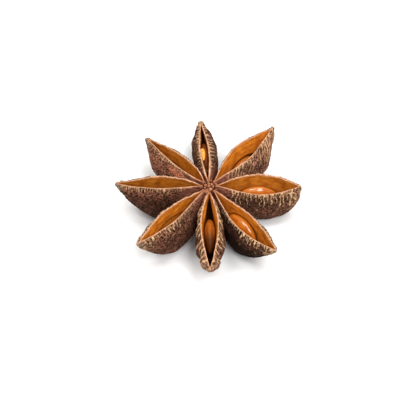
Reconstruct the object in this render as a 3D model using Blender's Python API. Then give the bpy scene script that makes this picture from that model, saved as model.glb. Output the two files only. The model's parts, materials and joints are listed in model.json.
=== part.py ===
"""A dried star anise pod: eight boat-shaped carpels round a short column, five of them with a seed.

Metres, +Z up. The pod lies on the bellies of its carpels at Z = 0, with its open sides up. The
origin is on that surface, under the middle of the pod's outline. +X is east and +Y is north.
"""

import math
from collections import namedtuple

import bmesh
import bpy
from mathutils import Matrix, Vector, noise

# Each carpel: direction in degrees, length from the pod's axis to the tip, height of the tip over
# the top of the column, how far its lips arch over the line between the two, half the widest gap
# between the lips, how far out that gap is (over 1 farther), where the lips meet again as a share
# of the length, greatest half width, depth of the belly under the top of the column, how blunt its
# end is (0 tapered, 1 blunt), width left at the tip as a share of the girth, how much it is
# pinched just before the tip, how far it rolls about its own length in degrees, distance of its
# seed's chamber from the axis, how roomy the chamber is (1 whole, less where it has shrunk), and
# whether it still holds the seed.
Carpel = namedtuple(
    "Carpel",
    "name azimuth length tip_rise arch gape skew slit_end girth belly blunt stub pinch roll"
    " chamber room seed",
)
CARPELS = (
    Carpel("east", 2.9, 0.01905, -0.00125, 0.00025, 0.00255, 1.03, 0.99,
           0.0033, 0.0114, 1.1, 0.22, 0, -1, 0.0101, 1, True),
    Carpel("northeast", 47.1, 0.0199, 0.00125, 0.00115, 0.0020, 1.09, 0.88,
           0.0032, 0.0115, 0.8, 0.14, 0, -3, 0.0104, 1, True),
    Carpel("north", 96.0, 0.0190, -0.0020, 0.00025, 0.00082, 0.95, 0.91,
           0.0026, 0.0114, 0.7, 0.25, 0, -5, 0.0101, 1, True),
    Carpel("northwest", 134.6, 0.0189, -0.0012, 0.0007, 0.00132, 0.75, 0.95,
           0.0030, 0.0112, 0.7, 0.16, 0, 0, 0.0103, 0.75, False),
    Carpel("west", 177.9, 0.0192, -0.0006, 0.0009, 0.00148, 0.97, 0.93,
           0.0030, 0.0115, -0.1, 0.13, 0, 0, 0.0105, 0.75, False),
    Carpel("southwest", 225.1, 0.02005, -0.00055, 0.0006, 0.00155, 1.2, 0.91,
           0.0029, 0.0113, 0.0, 0.20, 0, 3, 0.0107, 1, False),
    Carpel("south", 270.7, 0.0192, -0.00195, 0.0005, 0.00162, 0.93, 0.97,
           0.0030, 0.0109, -0.3, 0.27, 0.13, 1, 0.0100, 1, True),
    Carpel("southeast", 310.9, 0.0201, -0.00105, -0.0006, 0.00185, 1.08, 0.98,
           0.0032, 0.0114, 0.0, 0.18, 0, -1, 0.0104, 1, True),
)
COLUMN_TOP = 0.0110  # height of the carpels' inner ends over the surface the pod lies on

# Shares of a carpel's length, from the pod's axis at 0 to the tip at 1.
ROOT = 0.05  # where the carpel's solid starts, inside the column
RING = 0.10  # where its lips part
DEEPEST = 0.50
WIDEST = 0.55

LIP = 0.00045  # thickness of the cut edge
SLIT = 0.00005  # half the gap left where the lips meet
GROOVE_DEPTH = 0.0042  # of the V between the parted halves
HEEL = 0.68  # depth at the column, as a share of the belly
BEAK_DEPTH = 0.0009  # of the closed tip
STUB_ROUND = 0.05  # share of the length over which the tip rounds off
PINCH = (0.83, 0.04)  # where the pinch before the tip is, and its half length
FLARE = 0.28  # share of the length over which a carpel widens
BULGE = 0.30  # depth of the widest place, as a share of the section's depth
KEEL_FULLNESS = 0.6  # of the section under it, 1 pointed and 0.5 round

CHAMBER_DROP = 0.0040  # middle of a seed's chamber under the top of the column
CHAMBER = (0.0044, 0.00185, 0.0031)  # a whole chamber's half length, half width and half height
SEED = (0.0040, 0.00145, 0.0027)  # the seed's own
SEED_NARROWING = 0.22  # of its outer end

RELIEF = 0.0003  # height of the crags on the outer walls
RELIEF_SIZE = 0.0021

STATIONS = 18  # steps along a carpel
WALL_ROWS = 8  # points down each outer wall
CAVITY_ROWS = 8  # points down each inner wall
COLUMN_SIDES = 24

# The column's outline, from the middle of its top to the stalk's scar: radius and depth.
COLUMN_OUTLINE = (
    (0.0, 0.0),
    (0.0005, 0.0),
    (0.0008, 0.0003),
    (0.0012, 0.0001),
    (0.0017, 0.0001),
    (0.0021, 0.0007),
    (0.0024, 0.0026),
    (0.0024, 0.0050),
    (0.0021, 0.0067),
    (0.0015, 0.0073),
    (0.0012, 0.0084),
    (0.0, 0.0084),
)

WALL_COLOUR = (0.075, 0.037, 0.028)
SEED_COLOUR = (0.40, 0.12, 0.015)


def remove_everything():
    for obj in list(bpy.data.objects):
        bpy.data.objects.remove(obj)


def give_material(obj, colour, roughness):
    material = bpy.data.materials.new(obj.name)
    material.use_nodes = True
    shader = material.node_tree.nodes["Principled BSDF"]
    shader.inputs["Base Color"].default_value = (*colour, 1)
    shader.inputs["Roughness"].default_value = roughness
    shader.inputs["Metallic"].default_value = 0
    obj.data.materials.append(material)


def slit_share(carpel, t):
    """0 where the lips part, 1 where they meet again."""
    return min(1, max(0, (t - RING) / (carpel.slit_end - RING)))


def parting(carpel, t):
    """How far the lips are apart, as a share of their widest gap."""
    return math.sin(math.pi * slit_share(carpel, t) ** carpel.skew)


def half_gap(carpel, t):
    return SLIT + (carpel.gape - SLIT) * parting(carpel, t)


def lip_width(carpel, t):
    return LIP * (0.55 + 0.45 * parting(carpel, t) ** 0.5)


def lip_height(carpel, t):
    out = max(0, (t - RING) / (1 - RING))
    return carpel.tip_rise * out**1.6 + carpel.arch * math.sin(math.pi * out**0.8)


def keel_height(carpel, t):
    if t < DEEPEST:
        inwards = (DEEPEST - t) / DEEPEST
        return -carpel.belly * (1 - (1 - HEEL) * inwards**2)
    beak = carpel.tip_rise - BEAK_DEPTH
    outwards = (t - DEEPEST) / (1 - DEEPEST)
    fullness = (1 - outwards ** (1.8 + 0.7 * carpel.blunt)) ** (1 - 0.5 * carpel.blunt)
    return beak - (carpel.belly + beak) * fullness


def half_girth(carpel, t):
    """The section's greatest half width."""
    flare = 1 - math.exp(-((t / FLARE) ** 1.5))
    past = max(0, (t - WIDEST) / (1 - WIDEST))
    taper = (1 - past**2) ** 0.8
    rounding = max(0, (t - 1 + STUB_ROUND) / STUB_ROUND)
    stub = carpel.stub * (0.3 + 0.7 * math.sqrt(1 - rounding**2))
    pinch = carpel.pinch * math.exp(-(((t - PINCH[0]) / PINCH[1]) ** 2))
    width = carpel.girth * flare * (stub + (1 - stub) * taper) * (1 - pinch)
    return max(width, half_gap(carpel, t) + lip_width(carpel, t) * 1.1)


def wall_half_width(carpel, t, depth):
    """Of the outer wall. depth is 0 at the lip and 1 at the keel."""
    lip = half_gap(carpel, t) + lip_width(carpel, t)
    girth = half_girth(carpel, t)
    if depth < BULGE:
        return lip + (girth - lip) * math.sin(math.pi / 2 * depth / BULGE)
    return girth * (1 - ((depth - BULGE) / (1 - BULGE)) ** 2) ** KEEL_FULLNESS


def chamber_reach(carpel, t):
    """How much of a whole chamber's height and width is left at t."""
    along = (t * carpel.length - carpel.chamber) / CHAMBER[0]
    return carpel.room * math.sqrt(max(0, 1 - along**2))


def chamber_middle(carpel):
    """Its height. A shrunk chamber keeps its floor."""
    return -CHAMBER_DROP - CHAMBER[2] * (1 - carpel.room)


def groove_depth(carpel, t):
    return SLIT * 2 + GROOVE_DEPTH * math.sin(math.pi * slit_share(carpel, t)) ** 0.6


def cavity_floor(carpel, t):
    groove = lip_height(carpel, t) - groove_depth(carpel, t)
    reach = chamber_reach(carpel, t)
    return min(groove, chamber_middle(carpel) - CHAMBER[2] * reach) if reach > 0 else groove


def cavity_half_width(carpel, t, height):
    """Of the V-shaped groove or the seed's chamber under it, whichever is wider there."""
    down = (lip_height(carpel, t) - height) / groove_depth(carpel, t)
    groove = half_gap(carpel, t) * max(0, 1 - down) ** 0.8
    off = (height - chamber_middle(carpel)) / CHAMBER[2]
    chamber = CHAMBER[1] * math.sqrt(max(0, chamber_reach(carpel, t) ** 2 - off**2))
    return max(SLIT, groove, chamber)


def crag(carpel, x, y, z):
    """Relief of the outer wall at a point of the carpel's own space."""
    place = Vector((x, y, z)) / RELIEF_SIZE + Vector((carpel.azimuth, 0, 0))
    return RELIEF * noise.noise(place)


def section(carpel, t):
    """The closed outline across a carpel at t, as points (x, y, z) of its own space."""
    x = t * carpel.length
    top = lip_height(carpel, t)
    keel = keel_height(carpel, t)
    floor = cavity_floor(carpel, t)
    wall = []
    for row in range(WALL_ROWS):
        depth = math.sin(math.pi / 2 * row / (WALL_ROWS - 1))
        z = top + (keel - top) * depth
        wall.append((wall_half_width(carpel, t, depth), z))
    cavity = []
    for row in range(CAVITY_ROWS - 1):
        z = top + (floor - top) * row / (CAVITY_ROWS - 1)
        cavity.append((cavity_half_width(carpel, t, z), z))
    cavity.append((0, floor))
    outline = []
    for side, rows in ((1, wall), (-1, wall[-2::-1])):
        for y, z in rows:
            shown = min(1, 4 * y / carpel.girth)
            y += crag(carpel, x, side * y, z) * shown
            outline.append((x, side * y, z))
    for side, rows in ((-1, cavity), (1, cavity[-2::-1])):
        outline += [(x, side * y, z) for y, z in rows]
    return outline


def hub_place():
    """Of the column's top. The middle of the pod's outline is over the origin."""
    x = [c.length * math.cos(math.radians(c.azimuth)) for c in CARPELS]
    y = [c.length * math.sin(math.radians(c.azimuth)) for c in CARPELS]
    return Vector((-(max(x) + min(x)) / 2, -(max(y) + min(y)) / 2, COLUMN_TOP))


def carpel_frame(carpel):
    """From a carpel's own space, with X out along it, to the pod's."""
    turn = Matrix.Rotation(math.radians(carpel.azimuth), 4, "Z")
    roll = Matrix.Rotation(math.radians(carpel.roll), 4, "X")
    return Matrix.Translation(hub_place()) @ turn @ roll


def carpel_object(carpel):
    frame = carpel_frame(carpel)
    mesh = bmesh.new()
    loops = []
    for station in range(STATIONS + 1):
        share = 1 - (1 - station / STATIONS) ** 1.5
        t = ROOT + (1 - ROOT) * share
        placed = [frame @ Vector(point) for point in section(carpel, t)]
        loops.append([mesh.verts.new((p.x, p.y, max(0, p.z))) for p in placed])
    for inner, outer in zip(loops, loops[1:]):
        for i in range(len(inner)):
            j = (i + 1) % len(inner)
            mesh.faces.new((inner[i], outer[i], outer[j], inner[j]))
    mesh.faces.new(loops[0])
    mesh.faces.new(reversed(loops[-1]))
    bmesh.ops.recalc_face_normals(mesh, faces=mesh.faces)
    return object_of("carpel_" + carpel.name, mesh)


def object_of(name, mesh):
    data = bpy.data.meshes.new(name)
    mesh.to_mesh(data)
    mesh.free()
    obj = bpy.data.objects.new(name, data)
    bpy.context.scene.collection.objects.link(obj)
    return obj


def column_object():
    mesh = bmesh.new()
    points = [mesh.verts.new((radius, 0, -depth)) for radius, depth in COLUMN_OUTLINE]
    edges = [mesh.edges.new(pair) for pair in zip(points, points[1:])]
    bmesh.ops.spin(
        mesh, geom=points + edges, axis=(0, 0, 1), cent=(0, 0, 0),
        angle=2 * math.pi, steps=COLUMN_SIDES, use_merge=True,
    )
    bmesh.ops.remove_doubles(mesh, verts=mesh.verts, dist=1e-6)
    bmesh.ops.recalc_face_normals(mesh, faces=mesh.faces)
    bmesh.ops.translate(mesh, verts=mesh.verts, vec=hub_place())
    return object_of("pod", mesh)


def fuse(body, others):
    """Joins the other objects to body by one Boolean union and removes them."""
    group = bpy.data.collections.new("to_fuse")
    for obj in others:
        bpy.context.scene.collection.objects.unlink(obj)
        group.objects.link(obj)
    bpy.context.scene.collection.children.link(group)
    union = body.modifiers.new("union", "BOOLEAN")
    union.operation = "UNION"
    union.operand_type = "COLLECTION"
    union.collection = group
    bpy.context.view_layer.objects.active = body
    body.select_set(True)
    bpy.ops.object.modifier_apply(modifier=union.name)
    for obj in others:
        bpy.data.objects.remove(obj)
    bpy.data.collections.remove(group)


def seed_object(carpel):
    """A flattened egg that lies in the chamber, with its narrow end outwards."""
    mesh = bmesh.new()
    bmesh.ops.create_uvsphere(mesh, u_segments=14, v_segments=10, radius=1)
    to_length = Matrix.Rotation(math.pi / 2, 3, "Y")
    for vert in mesh.verts:
        along, across, up = to_length @ vert.co
        slim = 1 - SEED_NARROWING * max(0, along) ** 2
        vert.co = (SEED[0] * along, SEED[1] * across * slim, SEED[2] * up * slim)
    bmesh.ops.recalc_face_normals(mesh, faces=mesh.faces)
    seed = object_of("seed_" + carpel.name, mesh)
    middle = Matrix.Translation((carpel.chamber, 0, -CHAMBER_DROP))
    seed.matrix_world = carpel_frame(carpel) @ middle
    return seed


def main():
    remove_everything()
    pod = column_object()
    fuse(pod, [carpel_object(carpel) for carpel in CARPELS])
    give_material(pod, WALL_COLOUR, 0.8)
    pod.data.shade_smooth()
    pod.data.set_sharp_from_angle(angle=math.radians(40))
    for carpel in CARPELS:
        if carpel.seed:
            seed = seed_object(carpel)
            give_material(seed, SEED_COLOUR, 0.25)
            seed.data.shade_smooth()


main()
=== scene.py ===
"""A dried star anise pod: wrinkled, boat-shaped carpels round a knobbly column, and glossy seeds.

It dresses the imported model. Each carpel is one fine closed mesh on the same named values as the
solid, with its ribs, crags, scalloped lips and chamber as real shape.
"""

import json
import math
from collections import namedtuple

import bpy
import numpy as np
from mathutils import Matrix, Vector, noise

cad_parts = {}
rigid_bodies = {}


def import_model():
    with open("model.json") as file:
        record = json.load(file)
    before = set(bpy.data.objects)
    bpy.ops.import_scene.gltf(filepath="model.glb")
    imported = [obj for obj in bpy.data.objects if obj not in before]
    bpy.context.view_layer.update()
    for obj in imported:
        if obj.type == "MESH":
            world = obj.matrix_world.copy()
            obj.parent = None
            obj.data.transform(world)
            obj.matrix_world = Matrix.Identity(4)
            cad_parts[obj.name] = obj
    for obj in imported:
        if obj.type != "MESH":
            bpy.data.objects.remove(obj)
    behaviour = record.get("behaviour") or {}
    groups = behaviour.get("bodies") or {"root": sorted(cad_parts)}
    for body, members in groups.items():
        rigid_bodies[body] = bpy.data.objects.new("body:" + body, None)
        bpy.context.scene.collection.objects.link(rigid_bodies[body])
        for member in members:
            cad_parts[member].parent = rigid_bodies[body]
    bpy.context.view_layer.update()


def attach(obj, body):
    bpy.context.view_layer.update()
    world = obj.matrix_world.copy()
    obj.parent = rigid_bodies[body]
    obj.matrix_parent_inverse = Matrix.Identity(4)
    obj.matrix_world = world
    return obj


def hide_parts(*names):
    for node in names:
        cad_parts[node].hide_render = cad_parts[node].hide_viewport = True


MM = 0.001

# The solid's own named values, in metres and degrees.

# Each carpel: direction, length, height of its tip over the column's top, how far its lips arch
# over the line between these, half its widest gap and how far out that is, where the lips meet
# again, greatest half width, depth of the belly, how blunt its end is, width left at the tip, how
# much it is pinched before the tip, its roll, where its chamber is and how roomy, and whether it
# has a seed.
Carpel = namedtuple(
    "Carpel",
    "name azimuth length tip_rise arch gape skew slit_end girth belly blunt stub pinch roll"
    " chamber room seed",
)
CARPELS = (
    Carpel("east", 2.9, 0.01905, -0.00125, 0.00025, 0.00255, 1.03, 0.99,
           0.0033, 0.0114, 1.1, 0.22, 0, -1, 0.0101, 1, True),
    Carpel("northeast", 47.1, 0.0199, 0.00125, 0.00115, 0.0020, 1.09, 0.88,
           0.0032, 0.0115, 0.8, 0.14, 0, -3, 0.0104, 1, True),
    Carpel("north", 96.0, 0.0190, -0.0020, 0.00025, 0.00082, 0.95, 0.91,
           0.0026, 0.0114, 0.7, 0.25, 0, -5, 0.0101, 1, True),
    Carpel("northwest", 134.6, 0.0189, -0.0012, 0.0007, 0.00132, 0.75, 0.95,
           0.0030, 0.0112, 0.7, 0.16, 0, 0, 0.0103, 0.75, False),
    Carpel("west", 177.9, 0.0192, -0.0006, 0.0009, 0.00148, 0.97, 0.93,
           0.0030, 0.0115, -0.1, 0.13, 0, 0, 0.0105, 0.75, False),
    Carpel("southwest", 225.1, 0.02005, -0.00055, 0.0006, 0.00155, 1.2, 0.91,
           0.0029, 0.0113, 0.0, 0.20, 0, 3, 0.0107, 1, False),
    Carpel("south", 270.7, 0.0192, -0.00195, 0.0005, 0.00162, 0.93, 0.97,
           0.0030, 0.0109, -0.3, 0.27, 0.13, 1, 0.0100, 1, True),
    Carpel("southeast", 310.9, 0.0201, -0.00105, -0.0006, 0.00185, 1.08, 0.98,
           0.0032, 0.0114, 0.0, 0.18, 0, -1, 0.0104, 1, True),
)
COLUMN_TOP = 0.0110  # over the floor
# Along a carpel, as shares of its length.
ROOT = 0.05  # where it starts
RING = 0.10  # where its lips part
DEEPEST = 0.50
WIDEST = 0.55
STUB_ROUND = 0.05
FLARE = 0.28
LIP = 0.00045
SLIT = 0.00005  # half the gap left where the lips meet
GROOVE_DEPTH = 0.0042
HEEL = 0.68  # depth at the column, as a share of the belly
BULGE = 0.30  # depth of a section's widest place, as a share of its whole depth
KEEL_FULLNESS = 0.6
CHAMBER_DROP = 0.0040
CHAMBER = (0.0044, 0.00185, 0.0031)  # half its length, width and height
SEED = (0.0040, 0.00145, 0.0027)
SEED_NARROWING = 0.22
RELIEF = 0.0003
RELIEF_SIZE = 0.0021
COLUMN_OUTLINE = (  # radius and depth
    (0.0, 0.0), (0.0005, 0.0), (0.0008, 0.0003), (0.0012, 0.0001), (0.0017, 0.0001),
    (0.0021, 0.0007), (0.0024, 0.0026), (0.0024, 0.0050), (0.0021, 0.0067), (0.0015, 0.0073),
    (0.0012, 0.0084), (0.0, 0.0084),
)

# What only the looks have.

# Each carpel's skin: how pale its ribs are, and those of its inner half as a share of that; how
# tall they are, how long they run down the wall in mm, how they slant outwards on the way down,
# how evenly they stand and how far out they start; how red the skin is, how weathered its tip,
# how much painted shade darkens its lower wall and how much painted shade darkens the whole wall
# on its near side, the one facing the camera; how steep its inner walls are (0 a V, 1 a trench),
# which also sets how much painted shade blackens them, how tight the chamber lies round the seed,
# as a share of the solid's, how light its inner and its outer walls are, and how wide its cut
# edges are, as a share of the solid's.
Skin = namedtuple(
    "Skin",
    "pale inner_pale tall reach slant even start red tip_grey dim dusk"
    " steep snug glow tone lip",
)
SKINS = {
    "east": Skin(1.35, 1, 1.35, 4.9, -0.05, 0, 0.20, 0.15, 0.1, 0.25, 0,
                 0, 0.79, 0.98, 1.05, 0.46),
    "northeast": Skin(1.20, 1, 1.20, 5.2, -0.40, 0, 0.20, 0.10, 0.1, 0, 0,
                      0, 0.79, 1.45, 1.55, 0.46),
    "north": Skin(0.80, 1, 1.00, 1.7, 0.40, 0.8, 0.20, 0.10, 0.1, 0.2, 0,
                  0.8, 0.80, 1.0, 0.9, 0.66),
    "northwest": Skin(0.80, 0.6, 0.90, 1.3, 0.1, 0, 0.22, 0.25, 0.9, 0, 0,
                      0, 0.90, 1.18, 1.65, 0.46),
    "west": Skin(0.66, 0.8, 0.90, 1.2, 0.05, 0, 0.22, 0.10, 0.7, 0.35, 0,
                 0, 0.90, 0.95, 0.88, 0.46),
    "southwest": Skin(1.0, 0.7, 1.0, 2.0, 0.1, 0, 0.20, 0, 0.5, 0.25, 0,
                      0, 0.60, 1.32, 1.15, 0.50),
    "south": Skin(0.85, 1, 1.30, 2.4, 0.40, 1, 0.15, 0.10, 0.2, 0.2, 0,
                  0.9, 0.80, 1.3, 0.95, 0.60),
    "southeast": Skin(1.2, 0.2, 1.1, 1.9, 0.15, 0, 0.22, 0.1, 0.2, 0.95, 0.74,
                      0.1, 0.84, 1.35, 1.0, 0.5),
}
# How far out each slit runs, as a share of the carpel's length, how much narrower than the solid
# the tip is, how blunt its very end and how deep its beak, and by how many metres it stands
# higher and is shorter.
Tip = namedtuple("Tip", "slit_to slimmer blunt depth lift short")
TIPS = {
    "east": Tip(0.990, 0.15, 0.3, 0.0016, 0, 0.00025),
    "northeast": Tip(0.945, 0.50, 0.2, 0.0006, 0, 0),
    "north": Tip(0.930, 0.30, 0.3, 0.0009, 0, 0),
    "northwest": Tip(0.968, 0.60, 0.3, 0.0005, 0.0002, 0.00015),
    "west": Tip(0.972, 0.40, 0.35, 0.0005, 0.0004, 0.0001),
    "southwest": Tip(0.958, 0.45, 0.2, 0.0004, 0.0003, 0.0001),
    "south": Tip(0.985, -0.04, 0.85, 0.0008, 0, 0.00025),
    "southeast": Tip(0.992, 0.55, 0.3, 0.0002, 0.0002, 0),
}
OUTER_FROM = 0.70  # from here outwards the slit runs farther and the carpel is shorter
BEAK_FROM = 0.78  # from here outwards the tip is lifted and made slimmer
HUB_LIP = 0.6  # the share by which the cut edge is wider where it runs into the column
HUB_LIP_SPAN = (0.12, 0.34)  # how far out it starts to widen, and how far out it is narrow
# Where the south carpel's neck is, how far it reaches inwards and outwards, and how deep it is,
# as a multiple of the solid's pinch.
NECK = (0.84, 0.085, 0.040, 2.8)
TRENCH_DEPTH = 0.0022  # by which a steep inner wall goes down farther
CHAMBER_RIM = (0.00010, 0.00025)  # how far off the chamber's rim starts, and how wide it is
LIP_CROWN = 0.00005  # by which the cut edge is domed
LIP_WAVE = 0.00009  # how far the cut edge wanders
HUB_REACH = 0.0017  # from the axis to where the lips run into the column's knobs
LIP_SINK = 0.00050  # how far they sink there

STATIONS = 220
STATION_CROWDING = 1.22  # how much closer they stand towards the tip
WALL_ROWS = 76
WALL_CROWDING = 1.35  # how much closer they stand towards the lip
LIP_ROWS = 4
CAVITY_ROWS = 34
TIP_RINGS = 6
TIP_BULGE = 0.00022  # how far the rings round the tip off
FINE_POINTS = 260  # of a section, before its rows are picked from them

# The walls' relief, in mm: how far apart its features are, and how high.
RIB_PITCH = 0.80  # from one long rib under the lips to the next
BEAD_PITCH = 0.50  # between the short ribs right under the lips
NET_SIZE = 0.62  # across a cell of the net of crags lower down
RIB_HEIGHT = 0.24
NET_HEIGHT = 0.10
VEIN_HEIGHT = 0.09
GRIT_HEIGHT = 0.045
FOLD_HEIGHT = 0.10
KNOB_HEIGHT = 0.15  # of the knobs at the tip
FURROW_HEIGHT = 0.10  # of the furrows by the column
KEEL_HEIGHT = 0.07
KEEL_WIDTH = 0.22
STREAK_HEIGHT = 0.004  # of the streaks and the dents of the inner wall
DENT_HEIGHT = 0.04

# The torn patch on one carpel's near wall: where it is and how large, outwards as shares of the
# carpel's length and down the wall in mm.
TORN_CARPEL = "northwest"
TORN_PLACE = (0.41, 1.2)
TORN_SIZE = (0.12, 0.85)

# The column's top, in mm: its knobs, the groove round them and a flat band on one side.
KNOB_RINGS = ((0.0, 1), (0.72, 7), (1.60, 13))  # radius and number of knobs
KNOB_REACH = 0.44
KNOB_RISE = (0.14, 0.12)  # of the lowest knob, and how much more of the highest
CREASE_DROP = 0.14
GROOVE_RADIUS = 1.24
GROOVE_WIDTH = 0.13
GROOVE_DROP = 0.22
GROOVE_FACES = 62  # degrees: where the groove is deepest
FLAT_PLACE = (-0.60, -1.12)
FLAT_SIZE = (0.80, 0.40)
FLAT_RISE = 0.08
ROUGH_RISE = 0.08
SHOULDER = (1.28, 1.60)  # the radius where it starts to fall, and where it has fallen
SHOULDER_DROP = 0.32
COLUMN_SIDES, COLUMN_ROWS = 200, 130

SEED_SIDES, SEED_ROWS = 80, 60
# How wide the seed's keel is and how far it stands out, as shares of its half width and height.
SEED_KEEL = (0.16, 0.012)
SEED_DENT = 0.010
FLAKE_CARPEL = "north"
FLAKE = (0.00155, 0.00050, 0.00045)  # half its length, width and thickness
FLAKE_PLACE = (0.0092, 0.00040, 0.00085)  # outwards, westwards and under the lip
FLAKE_SIDES, FLAKE_ROWS = 48, 40

rng = np.random.default_rng(23)
GRADIENTS = rng.normal(size=(256, 3))
GRADIENTS /= np.linalg.norm(GRADIENTS, axis=1)[:, None]
SHUFFLE = rng.permutation(256)
knob_rng = np.random.default_rng(5)


def smooth_noise(x, y, z):
    """Gradient noise, about -1 to 1, at arrays of coordinates."""
    points = np.stack(np.broadcast_arrays(x, y, z), axis=-1).astype(float)
    cell = np.floor(points).astype(int)
    inside = points - cell
    fade = inside**3 * (inside * (inside * 6 - 15) + 10)
    total = np.zeros(points.shape[:-1])
    for corner in np.ndindex(2, 2, 2):
        at = (cell + corner) & 255
        key = SHUFFLE[(SHUFFLE[(SHUFFLE[at[..., 0]] + at[..., 1]) & 255] + at[..., 2]) & 255]
        slope = (GRADIENTS[key] * (inside - corner)).sum(-1)
        weight = np.where(np.array(corner, bool), fade, 1 - fade).prod(-1)
        total += slope * weight
    return total * 1.7


def crests(x, y, z, sharpness):
    """1 along a net of winding lines, falling to 0 between them."""
    return np.clip(1 - sharpness * np.abs(smooth_noise(x, y, z)), 0, 1)


def ridges(along, down, pitch, width, wander, shift):
    """Winding ridges down a wall at uneven spacing, with a number from 0 to 1 for each of them."""
    phase = along / pitch + 0.8 * smooth_noise(along / (4 * pitch), 0.0, shift)
    phase = phase + wander * smooth_noise(along / (1.7 * pitch), down / 1.3, shift + 1.3)
    which = np.floor(phase + 0.5)
    lot = np.modf(np.abs(np.sin(which * 91.7 + shift) * 437.5))[0]
    return np.exp(-(((phase - which) / (width * (0.75 + 0.5 * lot))) ** 2)), lot


def step(low, high, value):
    """0 up to the low value, 1 from the high one on, and a smooth rise between them."""
    share = np.clip((value - low) / (high - low), 0, 1)
    return share * share * (3 - 2 * share)


# The carpel's shape. Here c is a carpel, and t is how far out, as a share of its length.


def slit_share(c, t):
    """How far along the slit a station is, 0 to 1."""
    reach = TIPS[c.name].slit_to
    t = t - (reach - c.slit_end) * step(OUTER_FROM, reach, t)
    return np.clip((t - RING) / (c.slit_end - RING), 0, 1)


def parting(c, t):
    """How far the lips have parted: 0 at the slit's ends and 1 where it is widest."""
    return np.maximum(0, np.sin(np.pi * slit_share(c, t) ** c.skew))


def half_gap(c, t):
    return SLIT + (c.gape - SLIT) * parting(c, t)


def lip_width(c, t):
    by_hub = 1 + HUB_LIP * (1 - step(*HUB_LIP_SPAN, t))
    return SKINS[c.name].lip * LIP * (0.55 + 0.45 * parting(c, t) ** 0.5) * by_hub


def lip_height(c, t):
    out = np.maximum(0, (t - RING) / (1 - RING))
    lift = TIPS[c.name].lift * step(BEAK_FROM, 1.0, t)
    return c.tip_rise * out**1.6 + c.arch * np.sin(np.pi * out**0.8) + lift


def keel_height(c, t):
    inwards = np.maximum(0, (DEEPEST - t) / DEEPEST)
    inner = -c.belly * (1 - (1 - HEEL) * inwards**2)
    tip = TIPS[c.name]
    beak = c.tip_rise + tip.lift - tip.depth
    outwards = np.clip((t - DEEPEST) / (1 - DEEPEST), 0, 1)
    fullness = (1 - outwards ** (1.8 + 0.7 * c.blunt)) ** (1 - 0.5 * c.blunt)
    return np.where(t < DEEPEST, inner, beak - (c.belly + beak) * fullness)


def half_girth(c, t):
    flare = 1 - np.exp(-((t / FLARE) ** 1.5))
    past = np.clip((t - WIDEST) / (1 - WIDEST), 0, 1)
    taper = (1 - past**2) ** 0.8
    rounding = np.clip((t - 1 + STUB_ROUND) / STUB_ROUND, 0, 1)
    tip = TIPS[c.name]
    stub = c.stub * (tip.blunt + (1 - tip.blunt) * np.sqrt(1 - rounding**2))
    middle, inwards, outwards, depth = NECK
    slope = np.where(t < middle, inwards, outwards)
    pinch = depth * c.pinch * np.exp(-(((t - middle) / slope) ** 2))
    width = c.girth * flare * (stub + (1 - stub) * taper) * (1 - pinch)
    width = width * (1 - tip.slimmer * step(BEAK_FROM, 1.0, t))
    return np.maximum(width, half_gap(c, t) + lip_width(c, t) * 1.1)


def wall_half_width(c, t, depth):
    lip = half_gap(c, t) + lip_width(c, t)
    girth = half_girth(c, t)
    upper = lip + (girth - lip) * np.sin(np.pi / 2 * np.minimum(1, depth / BULGE))
    under = np.clip((depth - BULGE) / (1 - BULGE), 0, 1)
    return np.where(depth < BULGE, upper, girth * (1 - under**2) ** KEEL_FULLNESS)


def chamber_reach(c, t):
    along = (t * c.length - c.chamber) / CHAMBER[0]
    return c.room * np.sqrt(np.maximum(0, 1 - along**2))


def chamber_middle(c):
    return -CHAMBER_DROP - CHAMBER[2] * (1 - c.room)


def groove_depth(c, t):
    depth = GROOVE_DEPTH + TRENCH_DEPTH * SKINS[c.name].steep
    return SLIT * 2 + depth * np.maximum(0, np.sin(np.pi * slit_share(c, t))) ** 0.6


def cavity_floor(c, t):
    groove = lip_height(c, t) - groove_depth(c, t)
    reach = chamber_reach(c, t)
    chamber = chamber_middle(c) - CHAMBER[2] * reach
    return np.where(reach > 0, np.minimum(groove, chamber), groove)


def chamber_half_width(c, t, height):
    off = (height - chamber_middle(c)) / CHAMBER[2]
    width = CHAMBER[1] * SKINS[c.name].snug
    return width * np.sqrt(np.maximum(0, chamber_reach(c, t) ** 2 - off**2))


def groove_half_width(c, t, height):
    down = np.clip((lip_height(c, t) - height) / groove_depth(c, t), 0, 1)
    slanted = (1 - down) ** 0.8
    narrowing = 0.20 + 0.30 * (1 - step(0.30, 0.48, t))
    trench = (1 - narrowing * step(0, 0.22, down)) * (1 - step(0.8, 1.0, down))
    steep = SKINS[c.name].steep
    return half_gap(c, t) * (slanted * (1 - steep) + trench * steep)


def hub_place():
    x = [c.length * math.cos(math.radians(c.azimuth)) for c in CARPELS]
    y = [c.length * math.sin(math.radians(c.azimuth)) for c in CARPELS]
    return Vector((-(max(x) + min(x)) / 2, -(max(y) + min(y)) / 2, COLUMN_TOP))


def carpel_frame(c):
    turn = Matrix.Rotation(math.radians(c.azimuth), 4, "Z")
    roll = Matrix.Rotation(math.radians(c.roll), 4, "X")
    return Matrix.Translation(hub_place()) @ turn @ roll


def spaced(y, z, shares):
    """Points along each row of a stack of polylines at the given shares of its length."""
    steps = np.hypot(np.diff(y, axis=1), np.diff(z, axis=1))
    run = np.concatenate([np.zeros((len(y), 1)), np.cumsum(steps, axis=1)], axis=1)
    out_y = np.empty((len(y), len(shares)))
    out_z = np.empty_like(out_y)
    for i in range(len(y)):
        wanted = shares * run[i, -1]
        out_y[i] = np.interp(wanted, run[i], y[i])
        out_z[i] = np.interp(wanted, run[i], z[i])
    return out_y, out_z, run[:, -1:] * shares


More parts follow.
